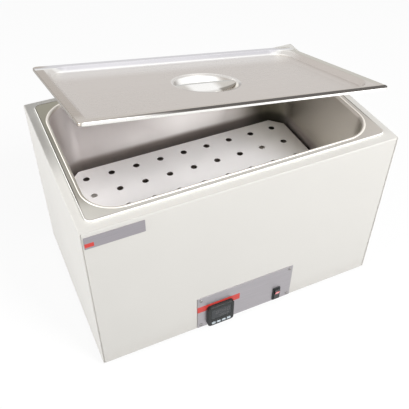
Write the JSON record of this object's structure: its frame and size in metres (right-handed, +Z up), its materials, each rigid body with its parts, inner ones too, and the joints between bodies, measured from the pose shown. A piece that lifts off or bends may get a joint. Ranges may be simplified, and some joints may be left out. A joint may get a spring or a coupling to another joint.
{
  "type": "circulating water bath",
  "caption": "Laboratory water bath: painted cabinet, steel tank with perforated shelf, heater and magnetic stirrer, digital controller, rocker switch and a lift-off steel lid.",
  "frame": {"origin": "on the floor, under the middle of the whole object's footprint", "axes": "+Z up; +X to the right along the front; +Y from the controls at the front to the inlet at the back"},
  "size_m": [0.558, 0.3716, 0.4906],
  "materials": {
    "cabinet_paint": "baked off-white enamel on sheet steel, fine texture",
    "tank_steel": "deep-drawn stainless steel, satin inside, soft vertical streaks",
    "lid_steel": "pressed stainless steel, satin, polished dish",
    "shelf_steel": "punched stainless sheet, satin",
    "leg_steel": "turned stainless steel",
    "heater_sheath": "stainless sheath, slightly heat-tinted",
    "fitting_brass": "turned brass",
    "fascia_metal": "satin plate, bare but for a red band",
    "screw_steel": "bright plated",
    "black_moulding": "fine-grained black moulding",
    "window": "smoked window, glossy",
    "keys": "pale blue-grey keys",
    "lens": "clear red lens",
    "foot_rubber": "black rubber",
    "seal": "translucent white silicone",
    "jacket": "pale yellow glass wool",
    "white_moulding": "white heat-resistant moulding",
    "motor_body": "dark enamel",
    "bracket_steel": "zinc-plated steel",
    "heat_sink": "mill finish extrusion"
  },
  "bodies": {
    "cabinet": {"base_plate": "cabinet_paint", "cabinet_wrapper": "cabinet_paint", "controller_case": "black_moulding", "controller_clamp": "black_moulding", "controller_window": "window", "fascia_plate": "fascia_metal", "fascia_screw_1": "screw_steel", "fascia_screw_2": "screw_steel", "fascia_screw_3": "screw_steel", "fascia_screw_4": "screw_steel", "front_panel": "cabinet_paint", "heater_gland_1": "fitting_brass", "heater_gland_2": "fitting_brass", "heater_nut_1": "fitting_brass", "heater_nut_2": "fitting_brass", "immersion_heater": "heater_sheath", "inlet_housing": "black_moulding", "inlet_pin_1": "fitting_brass", "inlet_pin_2": "fitting_brass", "inlet_pin_3": "fitting_brass", "inlet_screw_1": "screw_steel", "inlet_screw_2": "screw_steel", "motor": "motor_body", "motor_bracket": "bracket_steel", "name_plate": "fascia_metal", "overheat_cutout": "black_moulding", "probe_gland": "fitting_brass", "probe_nut": "fitting_brass", "rear_panel": "cabinet_paint", "relay_heat_sink": "heat_sink", "rim_gasket": "seal", "rubber_foot_front_left": "foot_rubber", "rubber_foot_front_right": "foot_rubber", "rubber_foot_rear_left": "foot_rubber", "rubber_foot_rear_right": "foot_rubber", "solid_state_relay": "black_moulding", "stirrer_cap": "white_moulding", "stirrer_pin": "leg_steel", "switch_housing": "black_moulding", "tank": "tank_steel", "tank_insulation": "jacket", "temperature_probe": "heater_sheath", "terminal_block": "white_moulding"},
    "lid": {"lid": "lid_steel", "lid_strap": "lid_steel"},
    "shelf": {"perforated_shelf": "shelf_steel", "shelf_leg_1": "leg_steel", "shelf_leg_2": "leg_steel", "shelf_leg_3": "leg_steel", "shelf_leg_4": "leg_steel"},
    "rocker": {"switch_rocker": "black_moulding", "rocker_lens": "lens"},
    "button_1": {"controller_button_1": "keys"},
    "button_2": {"controller_button_2": "keys"},
    "button_3": {"controller_button_3": "keys"},
    "button_4": {"controller_button_4": "keys"},
    "stirrer": {"impeller": "white_moulding"},
    "rotor": {"motor_shaft": "leg_steel", "drive_magnet": "motor_body"},
    "fuse_tray": {"fuse_drawer": "black_moulding"}
  },
  "joints": [
    {"name": "lid_tilt", "type": "hinge", "parent": "cabinet", "child": "lid", "pos_m": [0.25234, 0.15724, 0.3419], "axis": [-0.8763, 0.4818, 0], "range_deg": [-16.3, 40]},
    {"name": "shelf_lift", "type": "slide", "parent": "cabinet", "child": "shelf", "axis": [0, 0, 1], "range_m": [0, 0.12]},
    {"name": "power_rocker", "type": "hinge", "parent": "cabinet", "child": "rocker", "pos_m": [0.0698, -0.17905, 0.0285], "axis": [1, 0, 0], "range_deg": [-18, 0]},
    {"name": "stirrer_motor_spin", "type": "hinge", "parent": "cabinet", "child": "rotor", "pos_m": [0, 0.00285, 0.12], "axis": [0, 0, 1], "continuous": true},
    {"name": "impeller_spin", "type": "hinge", "parent": "cabinet", "child": "stirrer", "pos_m": [0, 0.00285, 0.145], "axis": [0, 0, 1], "continuous": true},
    {"name": "fuse_drawer_slide", "type": "slide", "parent": "cabinet", "child": "fuse_tray", "axis": [0, 1, 0], "range_m": [0, 0.015]},
    {"name": "button_1_press", "type": "slide", "parent": "cabinet", "child": "button_1", "axis": [0, 1, 0], "range_m": [0, 0.0008], "stiffness_N_per_m": 300},
    {"name": "button_2_press", "type": "slide", "parent": "cabinet", "child": "button_2", "axis": [0, 1, 0], "range_m": [0, 0.0008], "stiffness_N_per_m": 300},
    {"name": "button_3_press", "type": "slide", "parent": "cabinet", "child": "button_3", "axis": [0, 1, 0], "range_m": [0, 0.0008], "stiffness_N_per_m": 300},
    {"name": "button_4_press", "type": "slide", "parent": "cabinet", "child": "button_4", "axis": [0, 1, 0], "range_m": [0, 0.0008], "stiffness_N_per_m": 300}
  ],
  "couplings": [
    {"joint": "impeller_spin", "follows": "stirrer_motor_spin", "ratio": 1}
  ]
}
